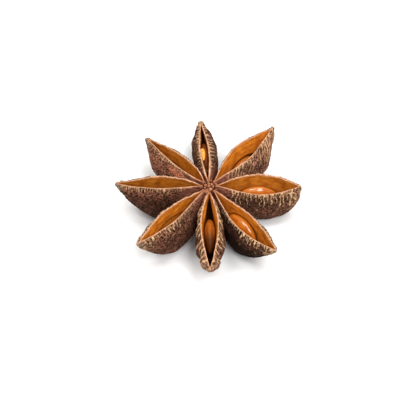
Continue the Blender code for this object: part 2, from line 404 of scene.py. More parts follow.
def half_sections(c, t):
    """Rows down one side of each section: y, z, how far down the wall and the cavity each point
    is, and whether it is in the chamber."""
    fine = np.linspace(0, 1, FINE_POINTS)[None, :]
    t = t[:, None]
    top = lip_height(c, t)
    depth = np.sin(np.pi / 2 * fine)
    wall_z = top + (keel_height(c, t) - top) * depth
    wall_y = wall_half_width(c, t, depth)
    wanted = np.linspace(0, 1, WALL_ROWS) ** WALL_CROWDING
    wall_y, wall_z, down = spaced(wall_y, wall_z, wanted)

    floor = cavity_floor(c, t)
    cavity_z = top + (floor - top) * (1 - np.cos(np.pi / 2 * fine))
    cavity_z = 0.5 * cavity_z + 0.5 * (top + (floor - top) * fine)
    groove = groove_half_width(c, t, cavity_z)
    chamber = chamber_half_width(c, t, cavity_z)
    cavity_y = np.maximum(SLIT, np.maximum(groove, chamber))
    cavity_y[:, -1] = 0
    cavity_y, cavity_z, inside = spaced(cavity_y, cavity_z, np.linspace(0, 1, CAVITY_ROWS))
    past_groove = chamber_half_width(c, t, cavity_z) - groove_half_width(c, t, cavity_z)
    in_chamber = step(0, CHAMBER_RIM[1], past_groove + CHAMBER_RIM[0])

    # The cut edge is a narrow rounded rim between the two.
    across = np.linspace(0, 1, LIP_ROWS + 2)[None, 1:-1]
    lip_y = wall_y[:, :1] + (cavity_y[:, :1] - wall_y[:, :1]) * (1 - np.cos(np.pi * across)) / 2
    lip_z = top + LIP_CROWN * np.sin(np.pi * across) ** 0.7
    zeros = np.zeros_like(lip_y)
    y = np.concatenate([wall_y[:, ::-1], lip_y, cavity_y], axis=1)
    z = np.concatenate([wall_z[:, ::-1], lip_z, cavity_z], axis=1)
    down = np.concatenate([down[:, ::-1], zeros, np.zeros_like(inside)], axis=1)
    inside = np.concatenate([np.zeros_like(wall_y), zeros, inside], axis=1)
    chamber = np.concatenate([np.zeros_like(wall_y), zeros, in_chamber], axis=1)
    return y, z, down, inside, chamber


def normals_of(points):
    """The normals of a grid of points, stations by rows, that closes on itself along its rows."""
    along = np.gradient(points, axis=0)
    around = np.roll(points, -1, axis=1) - np.roll(points, 1, axis=1)
    normal = np.cross(along, around)
    size = np.linalg.norm(normal, axis=-1, keepdims=True)
    return normal / np.maximum(size, 1e-12)


def lip_ribs(skin, share, even, reach, along, down, shift):
    """Long ribs and short beads that run down the wall from the lips."""
    slanted = along - skin.slant * down
    pitch = RIB_PITCH * (1 + 0.32 * even)
    width, wander = 0.16 + 0.05 * even, 0.50 - 0.35 * even
    long_ribs, lot = ridges(slanted, down, pitch, width, wander, shift + 3)
    lot = lot + even * 0.7 * (0.8 - lot)
    ends = reach * (0.35 + 0.95 * lot) * (0.3 + 0.7 * share)
    long_ribs = long_ribs * (1 - step(0.6 * ends, 1.25 * ends, down)) * (0.65 + 0.35 * lot)
    beads, lot = ridges(slanted, down, BEAD_PITCH, 0.20, 0.32, shift + 23)
    beads = beads * (1 - step(0.3 + 0.5 * lot, 0.6 + 0.9 * lot, down))
    breaks = 0.80 + 0.2 * even + 0.45 * smooth_noise(along / 0.7, down / 0.6, shift + 19)
    return np.maximum(long_ribs, (0.85 - 0.6 * even) * beads) * np.clip(breaks, 0, 1)


def wall_relief(c, index, t, along, down, keel, side):
    """Height of the outer wall's relief in metres, how much of a crest it is and how pale.

    Each point is along and down the wall and up from the keel by so many mm, and on one side.
    """
    skin = SKINS[c.name]
    shift = index * 7.3 + side * 2.1
    reach = skin.reach * (1 + 0.55 * smooth_noise(along / 1.3, 0.0, shift + 40))
    out = step(skin.start - 0.06, skin.start + 0.08, t + 0.02 * smooth_noise(along, down, shift))
    by_hub = 1 - step(skin.start - 0.02, skin.start + 0.10, t)
    tip = step(0.84, 0.97, t)

    # The ribs under the lips are less even on the left of a carpel, seen from the column, and
    # some carpels' are paler on their outer half.
    even = skin.even * np.where(side < 0, 1.0, 0.45)
    share = skin.inner_pale + (1 - skin.inner_pale) * step(0.50, 0.68, t)
    ribs = lip_ribs(skin, share, even, reach, along, down, shift)
    ribs_on = (1 - step(0.5 * reach, 1.3 * reach, down)) * out * (1 - 0.5 * tip)

    # The net of crags lower down, with its veins, and furrows by the column.
    drift = 0.45 * smooth_noise(along / 1.9, down / 1.9, shift + 27)
    across_net = (along - skin.slant * down) / NET_SIZE + drift
    net = crests(across_net, down / (NET_SIZE * 0.8) + drift, shift + 5, 2.0)
    grit = crests(along / 0.40, down / 0.30, shift + 33, 2.0)
    folds = smooth_noise(along / 3.0, down / 2.2, shift + 51)
    veins = crests(along / 1.9, down / 0.42 + drift, shift + 81, 1.9)
    furrows = crests(along / 3.5, down / 0.55 + 0.25 * drift, shift + 91, 1.7)
    knobs = crests(along / 0.78, down / 0.78, shift + 71, 1.9)
    net_on = (1 - (0.9 + 0.1 * even) * ribs_on) * (0.25 + 0.75 * out)
    net_on = net_on * (1 - 0.25 * step(4.5, 9.0, down))

    height = RIB_HEIGHT * skin.tall * ribs * ribs_on
    height += (NET_HEIGHT * net + VEIN_HEIGHT * veins) * net_on
    height += GRIT_HEIGHT * grit * (0.3 + 0.7 * out) + FOLD_HEIGHT * folds * (0.4 + 0.6 * out)
    height += KNOB_HEIGHT * tip * knobs + FURROW_HEIGHT * furrows * by_hub
    height += KEEL_HEIGHT * np.exp(-((keel / KEEL_WIDTH) ** 2)) * step(0.45, 0.7, t)

    crest = ribs_on * ribs + net_on * (0.55 * net + 0.45 * veins) + 0.18 * grit
    crest = crest * (1 - by_hub) + by_hub * (0.75 * furrows + 0.25 * net)

    # Pale are the ribs, some crags near them, the tip's knobs, the keel and the lip's edge.
    speckle = 0.5 + 0.5 * smooth_noise(along / 0.5, down / 0.5, shift + 61)
    fading = 1 - step(0.8 * reach, 2.0 * reach + 1.5, down)
    crags = 0.5 * step(0.6, 0.95, net) * step(0.5, 0.8, speckle) * out * fading
    pale = skin.pale * share * (step(0.28, 0.62, ribs * ribs_on) + crags)
    pale += skin.pale * 0.8 * tip * step(0.45, 0.8, knobs) * step(0.25, 0.6, speckle)
    keel_band = 0.26 + 0.22 * skin.tip_grey * step(0.65, 0.85, t)
    keel_line = np.exp(-((keel / keel_band) ** 2)) * step(0.50, 0.74, t)
    worn = 0.40 + 0.60 * step(-0.3, 0.4, smooth_noise(along / 0.8, keel / 0.5, shift + 101))
    pale += (0.4 + 0.8 * skin.tip_grey) * keel_line * worn
    near_lip = 1 - step(0.0, 0.10 + 0.15 * skin.even, down)
    pale = np.maximum(pale, near_lip * (0.2 + 0.8 * step(0.2, 0.6, ribs)) * (0.3 + 0.7 * out))
    return height * MM, np.clip(crest, 0, 1.1), np.clip(pale, 0, 1)


def skin_shade(c, t, inside):
    """Painted shade: how black the inner wall is, all the way down a steep slit, and by the hub
    and the tip.
    """
    steep = SKINS[c.name].steep
    by_hub = (1 - step(0.30, 0.46, t)) * step(0.9, 1.7, inside)
    by_tip = step(0.74, 0.84, t) * step(0.25, 1.2, inside)
    return steep * np.maximum(np.maximum(by_hub, by_tip), step(1.8, 3.4, inside))


def placed(points, frame):
    """A grid of points, taken from the frame's own coordinates to the scene's."""
    matrix = np.array(frame)
    flat = points.reshape(-1, 3) @ matrix[:3, :3].T + matrix[:3, 3]
    return flat.reshape(points.shape)


def torn_patch(out, along, down):
    """Where the near wall's patch is torn off, 0 to 1."""
    worn = 0.5 + 0.5 * smooth_noise(along / 0.7, down / 0.6, 93.0)
    outwards = (out - TORN_PLACE[0]) / TORN_SIZE[0]
    downwards = (down - TORN_PLACE[1]) / TORN_SIZE[1]
    return step(0.25, 0.55, np.exp(-(outwards**2) - downwards**2) * (0.5 + worn))


def solid_crags(c, x, y, z):
    """The solid's own crags: how far out each point of the outer wall stands."""
    flat = np.stack([x, y, z], axis=-1).reshape(-1, 3) / RELIEF_SIZE
    flat[:, 0] += c.azimuth
    crag = RELIEF * np.array([noise.noise(p) for p in flat.tolist()]).reshape(y.shape)
    return crag * np.minimum(1, 4 * np.abs(y) / c.girth)


def inner_relief(index, along, inside, side):
    """Faint pressed streaks and dents of the inner walls, in mm."""
    streak = smooth_noise(along / 0.5, inside / 3.0, index * 9.1 + side)
    dent = smooth_noise(along / 2.2, inside / 1.6, index * 5.3 + side * 2)
    return STREAK_HEIGHT * streak + DENT_HEIGHT * dent


def carpel_grid(c, index):
    """The carpel's skin as a grid of points, with the masks that its material needs."""
    share = 1 - (1 - np.linspace(0, 1, STATIONS)) ** STATION_CROWDING
    t = ROOT + (1 - ROOT) * share
    y, z, down, inside, chamber = half_sections(c, t)
    rows = y.shape[1]

    # One closed loop: up one wall from the keel, over its lip, down the cavity, and back.
    def both(values, mirrored):
        return np.concatenate([values, mirrored[:, -2:0:-1]], axis=1)

    side = both(np.ones_like(y), -np.ones_like(y))
    y = both(y, -y)
    z = both(z, z)
    down = both(down, down) / MM
    inside = both(inside, inside) / MM
    chamber = both(chamber, chamber)
    order = np.concatenate([np.arange(rows), np.arange(rows)[-2:0:-1]])
    on_wall = (order < WALL_ROWS).astype(float)[None, :] * np.ones_like(y)
    across = (order - WALL_ROWS + 1) / (LIP_ROWS + 1)
    on_lip = step(-0.05, 0.42, across) * (1 - step(1.0, 1.25, across))
    on_lip = on_lip[None, :] * np.ones_like(y)
    inner = (order >= WALL_ROWS + LIP_ROWS - 1).astype(float)[None, :] * np.ones_like(y)
    x = t * c.length - TIPS[c.name].short * step(OUTER_FROM, 1.0, t)
    x = x[:, None] * np.ones_like(y)
    out = t[:, None] * np.ones_like(y)

    y = y + solid_crags(c, x, y, z) * on_wall * side

    # The lips wander a little, in width and in height.
    along = x / MM
    edge = np.exp(-((down + inside) / 0.35) ** 2)
    wave = smooth_noise(along / 0.55, side * 3.0, index * 3.1)
    slow = smooth_noise(along / 1.9, side * 5.0, index * 4.7)
    away = 0.35 + 0.65 * step(0.14, 0.3, out)
    y = y + LIP_WAVE * edge * (wave + 0.8 * slow) * side * away
    z = z + LIP_WAVE * 1.1 * edge * (0.9 * wave + slow)
    sunk = 1 - step(0.68 * HUB_REACH, 0.86 * HUB_REACH, x)
    z = z - LIP_SINK * sunk * edge

    points = np.stack([x, y, z], axis=-1)
    normal = normals_of(points)
    if normal[STATIONS // 2, WALL_ROWS // 2, 1] < 0:
        normal = -normal

    keel = down[:, :1] - down
    height, crest, pale = wall_relief(c, index, out, along, down, keel, side)
    height = height * on_wall * step(-0.08, 0.22, down)
    soft = inner * (1 - chamber) * step(0.1, 0.6, inside)
    height = height + soft * inner_relief(index, along, inside, side) * MM
    points = points + normal * height[..., None]

    torn = np.zeros_like(x)
    if c.name == TORN_CARPEL:
        torn = torn_patch(out, along, down) * on_wall * (side > 0)
    skin = SKINS[c.name]
    near = side * math.cos(math.radians(c.azimuth)) < 0  # the side that the photograph shows
    # Painted shade: the lower wall is darkened, and so is the whole wall on the near side.
    dim = skin.dim * step(0.5, 3.2, down) * (0.3 + 0.7 * near)
    masks = {
        "shade": skin_shade(c, out, inside) * inner,
        "dim": np.maximum(dim, skin.dusk * near) * on_wall,
        "crest": crest * on_wall,
        "pale": pale * on_wall,
        "lip": on_lip * (0.25 + 0.75 * step(0.5, 1.1, x / HUB_REACH)),
        "inner": inner,
        "chamber": chamber,
        "torn": torn,
        "inside": inside,
        "out": out,
    }
    return points, masks, (along, down - inside, side)


def close_tip(points, masks):
    """Adds rings that round the grid off at its outer end."""
    last = points[-1]
    middle = last.mean(axis=0)
    rings = [points]
    for ring in range(1, TIP_RINGS + 1):
        angle = math.pi / 2 * ring / (TIP_RINGS + 0.6)
        shrunk = middle + (last - middle) * math.cos(angle)
        shrunk[:, 0] += TIP_BULGE * math.sin(angle)
        rings.append(shrunk[None])
    grown = {
        name: np.concatenate([mask, np.repeat(mask[-1:], TIP_RINGS, axis=0)])
        for name, mask in masks.items()
    }
    return np.concatenate(rings), grown


def grid_object(name, points, masks, flow):
    """A closed skin from a grid, stations by rows, with a fan over each end."""
    stations, rows = points.shape[:2]
    verts = points.reshape(-1, 3)
    ends = np.stack([points[0].mean(axis=0), points[-1].mean(axis=0)])
    verts = np.concatenate([verts, ends])
    index = np.arange(stations * rows).reshape(stations, rows)
    following = np.roll(index, -1, axis=1)
    quads = np.stack([index[:-1], index[1:], following[1:], following[:-1]], axis=-1)
    first = np.stack([np.full(rows, stations * rows), index[0], following[0]], axis=-1)
    final = np.stack([np.full(rows, stations * rows + 1), following[-1], index[-1]], axis=-1)
    mesh = bpy.data.meshes.new(name)
    faces = quads.reshape(-1, 4).tolist() + first.tolist() + final.tolist()
    mesh.from_pydata(verts.tolist(), [], faces)
    mesh.validate()
    if mesh_volume(mesh) < 0:
        mesh.flip_normals()
    for key, mask in masks.items():
        values = np.concatenate([mask.reshape(-1), [mask[0].mean(), mask[-1].mean()]])
        layer = mesh.attributes.new(key, "FLOAT", "POINT")
        layer.data.foreach_set("value", values.astype(np.float32))
    layer = mesh.attributes.new("flow", "FLOAT_VECTOR", "POINT")
    values = np.concatenate([flow.reshape(-1, 3), np.zeros((2, 3))]).astype(np.float32)
    layer.data.foreach_set("vector", values.reshape(-1))
    mesh.shade_smooth()
    obj = bpy.data.objects.new(name, mesh)
    bpy.context.scene.collection.objects.link(obj)
    return obj


def mesh_volume(mesh):
    mesh.calc_loop_triangles()
    corners = np.empty(len(mesh.loop_triangles) * 3, int)
    mesh.loop_triangles.foreach_get("vertices", corners)
    where = np.empty(len(mesh.vertices) * 3)
    mesh.vertices.foreach_get("co", where)
    a, b, c = where.reshape(-1, 3)[corners.reshape(-1, 3)].transpose(1, 0, 2)
    return float((a * np.cross(b, c)).sum() / 6)


def carpel_piece(c, index):
    points, masks, (along, around, side) = carpel_grid(c, index)
    points, masks = close_tip(points, masks)
    flow = np.stack([along, around, side * 3 + index * 11], axis=-1)
    flow = np.concatenate([flow, np.repeat(flow[-1:], TIP_RINGS, axis=0)])
    points = placed(points, carpel_frame(c))
    points[..., 2] = np.maximum(0, points[..., 2])  # it stands on the floor
    return grid_object("carpel_" + c.name, points, masks, flow)


# The column.


def knob_distances(x, y):
    """How far the nearest and the next knob of the column's top are, and the nearest's lot."""
    places = []
    for radius, number in KNOB_RINGS:
        turns = 2 * np.pi * (np.arange(number) + knob_rng.uniform(-0.28, 0.28, number)) / number
        reach = radius + knob_rng.uniform(-0.16, 0.16, number) * (radius > 0)
        places.append(np.stack([reach * np.cos(turns), reach * np.sin(turns)], axis=-1))
    places = np.concatenate(places)
    lots = knob_rng.uniform(0, 1, len(places))
    away = np.hypot(x[..., None] - places[:, 0], y[..., None] - places[:, 1])
    order = np.argsort(away, axis=-1)[..., :2]
    two = np.take_along_axis(away, order, axis=-1)
    return two[..., 0], two[..., 1], lots[order[..., 0]]


def column_profile():
    """Radius and depth at even steps along the column's outline, with its corners rounded."""
    outline = np.array(COLUMN_OUTLINE)
    run = np.concatenate([[0], np.cumsum(np.hypot(*np.diff(outline, axis=0).T))])
    wanted = np.linspace(0, run[-1], COLUMN_ROWS)
    kernel = np.ones(5) / 5
    profile = []
    for measure in outline.T:
        values = np.interp(wanted, run, measure)
        values[2:-2] = np.convolve(values, kernel, "valid")
        profile.append(values[:, None])
    return profile


def column_piece():
    """The knobbly middle, from its top to the stalk's scar underneath."""
    angle = np.linspace(0, 2 * np.pi, COLUMN_SIDES, endpoint=False)[None, :]
    radius, depth = (values * np.ones_like(angle) for values in column_profile())
    x, y, z = radius * np.cos(angle), radius * np.sin(angle), -depth
    mm = np.stack([x, y, z], axis=-1) / MM
    top = 1 - step(0.0006, 0.0018, depth)

    # The knobs, with creases between them.
    rough = smooth_noise(mm[..., 0] / 0.42, mm[..., 1] / 0.42, mm[..., 2] / 0.8)
    bend = 0.16 * smooth_noise(mm[..., 0] / 0.45, mm[..., 1] / 0.45, 9.0)
    near, next_near, lot = knob_distances(mm[..., 0] + bend, mm[..., 1] - bend)
    crease = 1 - step(0.04, 0.26, next_near - near + 0.05 * rough)
    dome = np.clip(1 - (near / KNOB_REACH) ** 2, 0, 1)

    # The flat band, the groove and the shoulder round them.
    band_x = (mm[..., 0] - FLAT_PLACE[0]) / FLAT_SIZE[0]
    band_y = (mm[..., 1] - FLAT_PLACE[1]) / FLAT_SIZE[1]
    band = np.exp(-(band_x**4) - band_y**4)
    wander = 0.1 * smooth_noise(np.cos(angle) * 2, np.sin(angle) * 2, 3.0)
    groove = np.exp(-(((radius / MM - GROOVE_RADIUS - wander) / GROOVE_WIDTH) ** 2))
    groove = groove * (0.45 + 0.55 * step(0.0, 0.6, np.cos(angle - math.radians(GROOVE_FACES))))
    groove = groove * (1 - band)
    shoulder = step(*SHOULDER, radius / MM) * top * (1 - 0.8 * band)

    swell = (KNOB_RISE[0] + KNOB_RISE[1] * lot) * dome - CREASE_DROP * crease
    swell = swell * (1 - band) + FLAT_RISE * band - GROOVE_DROP * groove
    z = z + ((swell + ROUGH_RISE * rough) * top - SHOULDER_DROP * shoulder) * MM
    wrinkle = crests(angle * 6 / np.pi, mm[..., 2] / 1.6, 4.0, 2.4)
    push = 1 + (0.05 * wrinkle + 0.03 * rough) * (1 - top)
    points = np.stack([x * push, y * push, z], axis=-1) + np.array(hub_place())

    # In the crest mask each knob's lot and the flat band are tone, while the knobs' domes are
    # painted lighter, a painted highlight, and the creases, groove and shoulder darker, painted
    # shade.
    knobs = (0.05 + 0.55 * lot + 0.40 * dome + 0.2 * rough) * (1 - 0.95 * crease) * (1 - band)
    flat = (0.58 + 0.15 * rough) * band
    crest = np.clip(knobs + flat - 1.2 * groove - 0.25 * shoulder, 0, 1)
    masks = {"crest": crest[1:-1], "top": top[1:-1]}
    return grid_object("column", points[1:-1], masks, mm[1:-1])


# The seeds.


def egg_angles(sides, rows):
    """The polar angles of a ball's rings, the angles round it and how far along each ring is."""
    polar = np.linspace(0, np.pi, rows)[1:-1, None]
    turn = np.linspace(0, 2 * np.pi, sides, endpoint=False)[None, :]
    return polar, turn, -np.cos(polar) * np.ones_like(turn)


def seed_piece(c):
    """A flattened egg with a keel round its edge and the scar of its stalk at the inner end."""
    polar, turn, along = egg_angles(SEED_SIDES, SEED_ROWS)
    across = np.sin(polar) * np.sin(turn)
    up = np.sin(polar) * np.cos(turn)
    slim = 1 - SEED_NARROWING * np.maximum(0, along) ** 2
    keel = np.exp(-((across / SEED_KEEL[0]) ** 2)) * np.sin(polar) ** 2
    scar = np.exp(-(((along + 0.97) / 0.07) ** 2))
    x = SEED[0] * along * (1 - 0.03 * scar)
    y = SEED[1] * across * slim
    z = SEED[2] * up * slim * (1 + SEED_KEEL[1] * keel)
    swell = 1 + SEED_DENT * smooth_noise(x / 0.0016, y / 0.0016, z / 0.0016 + c.azimuth)
    points = np.stack([x, y * swell, z * swell], axis=-1)
    masks = {"scar": scar, "keel": keel, "outwards": along}
    flow = points / MM + c.azimuth
    middle = Matrix.Translation((c.chamber, 0, -CHAMBER_DROP))
    points = placed(points, carpel_frame(c) @ middle)
    return grid_object("glossy_seed_" + c.name, points, masks, flow)


def flake_piece(c):
    """A torn flake of the chamber's lining that leans on the west wall of the north slit."""
    polar, turn, along = egg_angles(FLAKE_SIDES, FLAKE_ROWS)
    taper = 1 + 0.35 * along
    ring = np.sin(polar) ** 0.7
    bent = 0.10 * along**2
    x = FLAKE[0] * along
    y = FLAKE[1] * (ring * np.sin(turn) * taper + bent)
    z = FLAKE[2] * ring * np.cos(turn) * taper
    swell = 1 + 0.08 * smooth_noise(x / 0.0007, y / 0.0007, z / 0.0007)
    points = np.stack([x, y * swell, z * swell], axis=-1)
    outwards, westwards, under_lip = FLAKE_PLACE
    rim = lip_height(c, outwards / c.length)
    middle = Matrix.Translation((outwards, westwards, rim - under_lip))
    points = placed(points, carpel_frame(c) @ middle)
    return grid_object("lining_flake", points, {}, points / MM)


# Materials.


class Graph:
    """Builds a material's nodes. What its methods return is fed to other nodes' sockets."""

    def __init__(self, name):
        self.material = bpy.data.materials.new(name)
        self.material.use_nodes = True
        self.tree = self.material.node_tree
        self.shader = self.tree.nodes["Principled BSDF"]

    def node(self, kind, **settings):
        made = self.tree.nodes.new(kind)
        for key, value in settings.items():
            setattr(made, key, value)
        return made

    def feed(self, socket, value):
        if isinstance(value, bpy.types.NodeSocket):
            self.tree.links.new(value, socket)
        elif isinstance(value, (tuple, list)) and len(value) == 3 and socket.type == "RGBA":
            socket.default_value = (*value, 1)
        else:
            socket.default_value = value

    def mask(self, name):
        return self.node("ShaderNodeAttribute", attribute_name=name).outputs["Fac"]

    def vector(self, name, scale=(1, 1, 1)):
        source = self.node("ShaderNodeAttribute", attribute_name=name).outputs["Vector"]
        scaled = self.node("ShaderNodeVectorMath", operation="MULTIPLY")
        self.feed(scaled.inputs[0], source)
        scaled.inputs[1].default_value = scale
        return scaled.outputs[0]

    def noise(self, vector, scale, detail, roughness=0.55):
        made = self.node("ShaderNodeTexNoise")
        self.feed(made.inputs["Vector"], vector)
        made.inputs["Scale"].default_value = scale
        made.inputs["Detail"].default_value = detail
        made.inputs["Roughness"].default_value = roughness
        return made.outputs["Fac"]

    def warped(self, vector, scale, amount):
        """The vector, shifted about by a noise."""
        made = self.node("ShaderNodeTexNoise")
        self.feed(made.inputs["Vector"], vector)
        made.inputs["Scale"].default_value = scale
        moved = self.node("ShaderNodeVectorMath", operation="MULTIPLY_ADD")
        self.feed(moved.inputs[0], made.outputs["Color"])
        moved.inputs[1].default_value = (amount, amount, amount)
        self.feed(moved.inputs[2], vector)
        return moved.outputs[0]

    def seams(self, vector, width):
        """1 on the borders of a net of cells, falling to 0 at the given width from them."""
        made = self.node("ShaderNodeTexVoronoi", feature="DISTANCE_TO_EDGE")
        self.feed(made.inputs["Vector"], vector)
        made.inputs["Scale"].default_value = SEAM_SCALE
        return self.span(made.outputs["Distance"], 0.02, width, 1.0, 0.0)

    def math(self, operation, a, b):
        made = self.node("ShaderNodeMath", operation=operation)
        self.feed(made.inputs[0], a)
        self.feed(made.inputs[1], b)
        return made.outputs[0]

    def times(self, a, b):
        return self.math("MULTIPLY", a, b)

    def span(self, value, low, high, to_low=0.0, to_high=1.0):
        """A smooth change from one value to another while the input goes from low to high."""
        made = self.node("ShaderNodeMapRange", interpolation_type="SMOOTHSTEP")
        self.feed(made.inputs["Value"], value)
        self.feed(made.inputs["From Min"], low)
        self.feed(made.inputs["From Max"], high)
        self.feed(made.inputs["To Min"], to_low)
        self.feed(made.inputs["To Max"], to_high)
        return made.outputs["Result"]

    def mix(self, share, a, b):
        made = self.node("ShaderNodeMix", data_type="RGBA")
        self.feed(made.inputs[0], share)
        self.feed(made.inputs[6], a)
        self.feed(made.inputs[7], b)
        return made.outputs[2]

    def finish(self, colour, roughness, specular):
        """Feeds the shader, and returns the material."""
        self.feed(self.shader.inputs["Base Color"], colour)
        self.feed(self.shader.inputs["Roughness"], roughness)
        self.shader.inputs["Specular IOR Level"].default_value = specular
        return self.material

    def bump(self, height, strength, distance):
        made = self.node("ShaderNodeBump")
        made.inputs["Strength"].default_value = strength
        made.inputs["Distance"].default_value = distance
        self.feed(made.inputs["Height"], height)
        self.feed(self.shader.inputs["Normal"], made.outputs["Normal"])


BLACK = (0.006, 0.002, 0.001)
DARK = (0.010, 0.003, 0.0015)
SKIN_BROWN = (0.042, 0.013, 0.006)
CRACKLE = (0.310, 0.130, 0.078)
PURPLE = (0.180, 0.055, 0.034)
HUB_SEAM = (0.33, 0.120, 0.075)
RED = (0.30, 0.085, 0.040)
SCAR_RED = (0.66, 0.215, 0.115)
TAN = (0.30, 0.150, 0.075)
CREAM = (0.66, 0.420, 0.220)
EDGE = (0.72, 0.410, 0.250)
GREY = (0.17, 0.125, 0.090)
ORANGE = (0.290, 0.075, 0.005)
AMBER = (0.480, 0.165, 0.016)
# A deep red brown, for the flesh's streaks and patches and also as painted shade deep in the
# cavity and by the column.
RED_BROWN_AND_SHADE = (0.150, 0.032, 0.004)
GLOSS_AMBER = (0.62, 0.210, 0.016)
# Painted light: an empty chamber's lining, brighter than a seeded one's to make up for the shade
# inside it.
BARE_AMBER_BRIGHTENED = (0.76, 0.340, 0.040)
RIM_SHADE = (0.045, 0.010, 0.002)
SEED_SCAR = (0.50, 0.33, 0.19)
FLAKE_DEEP = (0.62, 0.25, 0.03)
FLAKE_LIGHT = (0.85, 0.43, 0.07)
HUB_TAN = (0.45, 0.180, 0.086)
HUB_DEEP = (0.060, 0.011, 0.003)
HUB_LIGHT = (0.52, 0.215, 0.105)
FLOOR_GREYS = ((0.86, 0.86, 0.86), (0.88, 0.88, 0.88))
BRIGHTEST = 0.9

SEAM_SCALE = 1.6  # cells in each unit of the net that seams are drawn on
WALL_ROUGH = (0.80, 0.80, 0.80)
FLESH_ROUGH = (0.46, 0.46, 0.46)
CHAMBER_ROUGH = (0.28, 0.28, 0.28)


def lit(colour, glow):
    return tuple(min(BRIGHTEST, value * glow) for value in colour)


def wall_colour(g, skin, flow, crackle, patches, grit):
    """The outer wall: painted shade in the dark hollows, brown skin, tan and cream crests, more
    purple by the hub.
    """
    crest, out = g.mask("crest"), g.mask("out")
    # Painted shade: the relief's hollows are darker than its crests.
    wall = g.mix(g.span(crest, 0.05, 0.60), lit(DARK, skin.tone), lit(SKIN_BROWN, skin.tone))
    cracks = g.times(crackle, g.span(patches, 0.35, 0.6, 0.40, 0.90))
    wall = g.mix(cracks, wall, lit(CRACKLE, skin.tone))
    hubward = g.times(g.span(out, 0.40, 0.22), g.span(crest, 0.0, 0.55, 0.10, 0.90))
    wall = g.mix(hubward, wall, PURPLE)
    wrinkles = g.seams(g.warped(g.vector("flow", (0.35, 1.5, 1.0)), 0.9, 0.8), 0.18)
    wall = g.mix(g.times(wrinkles, g.span(out, 0.36, 0.20, 0.0, 0.75)), wall, HUB_SEAM)
    wall = g.mix(g.times(g.span(patches, 0.46, 0.68), skin.red), wall, RED)
    wall = g.mix(g.span(grit, 0.40, 0.70, 0.0, 0.40), wall, DARK)
    torn = g.times(g.mask("torn"), g.span(crackle, 0.0, 0.6, 0.30, 1.0))
    wall = g.mix(torn, wall, SCAR_RED)
    # Painted shade darkens the lower wall and the whole near wall.
    wall = g.mix(g.mask("dim"), wall, DARK)
    pale = g.mix(g.span(g.noise(flow, 1.6, 2.0), 0.35, 0.60), TAN, CREAM)
    wall = g.mix(g.mask("pale"), wall, pale)
    return g.mix(g.times(g.span(out, 0.90, 1.0), skin.tip_grey), wall, GREY)


def flesh_colour(g, skin, patches, chamber, has_seed):
    """The inner wall: an ochre flange, darker and redder with painted shade deep down and by the
    column, and a shiny chamber.
    """
    inside, out = g.mask("inside"), g.mask("out")
    streaks = g.noise(g.vector("flow", (0.55, 1.5, 1.0)), 1.0, 4.0, 0.6)
    flesh = g.mix(g.span(streaks, 0.32, 0.68), lit(ORANGE, skin.glow), lit(AMBER, skin.glow))
    threads = g.noise(g.vector("flow", (0.5, 2.4, 1.0)), 1.6, 3.0, 0.6)
    flesh = g.mix(g.span(threads, 0.50, 0.72, 0.0, 0.45), flesh, lit(RED_BROWN_AND_SHADE, skin.glow))
    # Painted shade: darker and redder deep in the cavity and by the column.
    flesh = g.mix(g.span(inside, 0.6, 4.0, 0.0, 0.50), flesh, RED_BROWN_AND_SHADE)
    flesh = g.mix(g.span(out, 0.36, 0.16, 0.0, 0.40), flesh, RED_BROWN_AND_SHADE)
    flesh = g.mix(g.span(patches, 0.48, 0.70, 0.0, 0.40), flesh, RED_BROWN_AND_SHADE)
    # An empty chamber's lining is brightened, painted light against the shade inside it.
    flesh = g.mix(g.times(chamber, 0.9), flesh, GLOSS_AMBER if has_seed else BARE_AMBER_BRIGHTENED)
    rim = g.times(chamber, g.math("SUBTRACT", 1.0, chamber))
    flesh = g.mix(g.span(rim, 0.02, 0.16, 0.0, 0.35 if has_seed else 0.9), flesh, RIM_SHADE)
    # Painted shade blackens the inner wall deep in a steep slit, and by the hub and the tip.
    flesh = g.mix(g.mask("shade"), flesh, BLACK)
    return g.mix(g.span(inside, 0.16, 0.02, 0.0, 0.6), flesh, EDGE)


def edge_colour(g, flow):
    """The cut edges: pale, with tan and red stretches, and browner by the hub."""
    edge = g.mix(g.span(g.noise(flow, 1.3, 3.0), 0.40, 0.62, 0.0, 0.60), EDGE, TAN)
    edge = g.mix(g.span(g.mask("out"), 0.20, 0.09), edge, HUB_TAN)
    return g.mix(g.span(g.noise(flow, 2.1, 2.0), 0.52, 0.62, 0.0, 0.4), edge, RED)


def carpel_material(c):
    g = Graph("carpel_skin_" + c.name)
    skin = SKINS[c.name]
    flow = g.vector("flow")
    inner, chamber = g.mask("inner"), g.mask("chamber")
    patches = g.noise(flow, 0.55, 3.0)
    grit = g.noise(flow, 5.0, 4.0, 0.65)
    slanted = g.node("ShaderNodeMapping")
    g.feed(slanted.inputs["Vector"], flow)
    slanted.inputs["Rotation"].default_value = (0, 0, math.radians(-24))
    slanted.inputs["Scale"].default_value = (0.80, 1.25, 1.0)
    crackle = g.seams(g.warped(slanted.outputs["Vector"], 1.6, 1.1), 0.17)

    wall = wall_colour(g, skin, flow, crackle, patches, grit)
    flesh = flesh_colour(g, skin, patches, chamber, c.seed)
    colour = g.mix(inner, wall, flesh)
    colour = g.mix(g.mask("lip"), colour, edge_colour(g, flow))
    rough = g.mix(chamber, g.mix(inner, WALL_ROUGH, FLESH_ROUGH), CHAMBER_ROUGH)
    low = g.times(crackle, g.math("SUBTRACT", 1.0, inner))
    g.bump(g.math("ADD", g.times(grit, 0.6), low), 0.5, 0.00007)
    return g.finish(colour, rough, 0.05)


